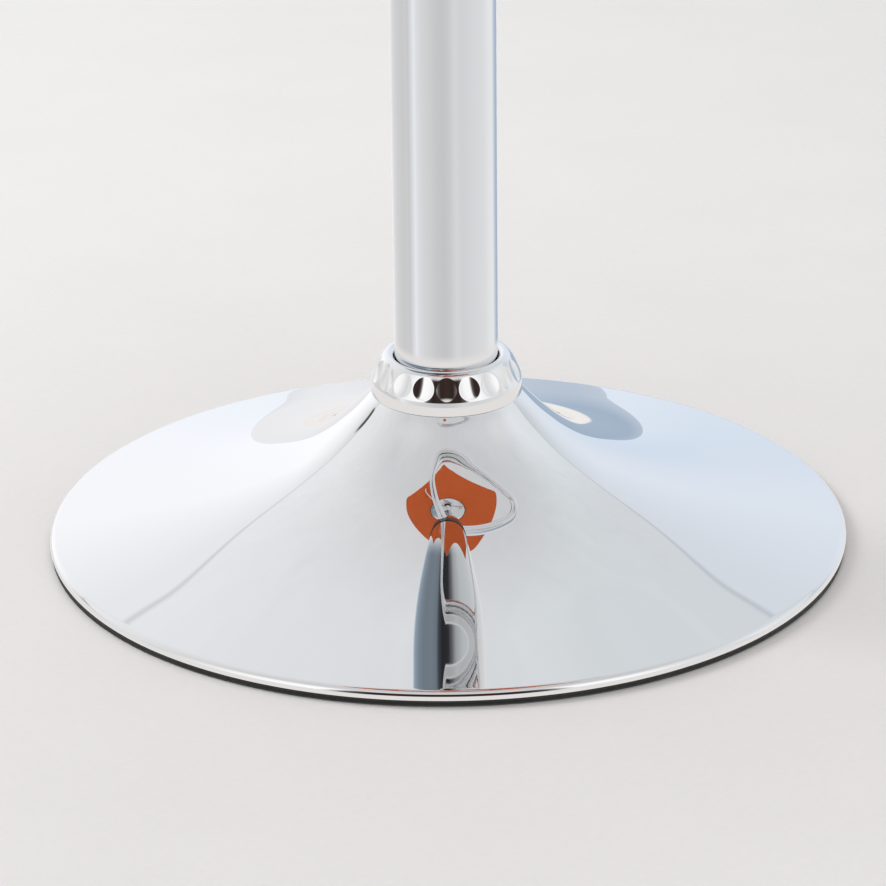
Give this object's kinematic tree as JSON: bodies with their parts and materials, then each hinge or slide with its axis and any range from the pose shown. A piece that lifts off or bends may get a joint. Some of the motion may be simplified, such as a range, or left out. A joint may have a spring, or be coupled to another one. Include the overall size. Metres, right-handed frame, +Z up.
{
  "type": "adjustable swivel stool",
  "caption": "Height-adjustable swivel stool: padded square seat on a gas-lift column with a fan-shaped footrest loop and a round trumpet base.",
  "frame": {"origin": "on the floor, on the column's axis", "axes": "+Z up along the column; the sitter faces -Y; the sitter's left is +X; the release lever points to -X"},
  "size_m": [0.39, 0.397, 0.776],
  "materials": {
    "chrome": "polished",
    "inner_steel": "satin",
    "rod_chrome": "polished",
    "zinc": "satin",
    "cast_iron": "matte",
    "floor_rubber": "matte",
    "black_plastic": "matte",
    "buffer_rubber": "matte",
    "brass": "satin",
    "piston_plastic": "satin",
    "plywood": "matte",
    "foam": "matte",
    "orange_leather": "satin"
  },
  "bodies": {
    "base": {"base_dish": "chrome", "floor_ring": "floor_rubber", "base_socket": "inner_steel", "base_ribs": "inner_steel", "ballast_ring": "cast_iron", "ballast_studs": "zinc", "ballast_nuts": "zinc", "collar": "chrome", "collar_liner": "black_plastic", "outer_column": "chrome", "column_end_plate": "inner_steel", "thrust_washer_lower": "zinc", "column_ring": "black_plastic", "footrest_hub": "chrome", "hub_screws": "zinc", "guide_bush": "black_plastic", "footrest_loop": "chrome"},
    "spindle": {"piston_rod": "rod_chrome", "rod_clip": "zinc", "rod_washer": "zinc", "bearing_balls": "rod_chrome", "bearing_cage": "brass", "thrust_washer_upper": "zinc", "bump_stop": "buffer_rubber", "piston": "piston_plastic", "piston_nut": "zinc"},
    "seat": {"gas_cylinder": "rod_chrome", "rod_guide": "black_plastic", "valve_block": "zinc", "taper_hub": "chrome", "seat_plate": "chrome", "plate_spacer": "black_plastic", "bolt_washers": "zinc", "plate_bolts": "zinc", "lever_bracket": "zinc", "pivot_pin": "zinc", "pivot_clip": "zinc", "seat_cover": "orange_leather", "seat_underpanel": "orange_leather", "seat_board": "plywood", "seat_foam": "foam", "tee_nuts": "zinc", "seat_piping": "orange_leather"},
    "lever": {"release_lever": "chrome"},
    "valve": {"valve_pin": "zinc"}
  },
  "joints": [
    {"name": "seat_swivel", "type": "hinge", "parent": "base", "child": "spindle", "pos_m": [0, 0, 0.03], "axis": [0, 0, 1], "continuous": true},
    {"name": "seat_height", "type": "slide", "parent": "spindle", "child": "seat", "axis": [0, 0, 1], "range_m": [-0.2, 0]},
    {"name": "lever_lift", "type": "hinge", "parent": "seat", "child": "lever", "pos_m": [-0.03, 0, 0.692], "axis": [0, 1, 0], "range_deg": [0, 4], "stiffness_Nm_per_rad": 3, "springref_deg": -1.72},
    {"name": "valve_press", "type": "slide", "parent": "seat", "child": "valve", "axis": [0, 0, -1], "range_m": [0, 0.0022]}
  ],
  "couplings": [
    {"joint": "valve_press", "follows": "lever_lift", "m_per_rad": 0.03}
  ]
}
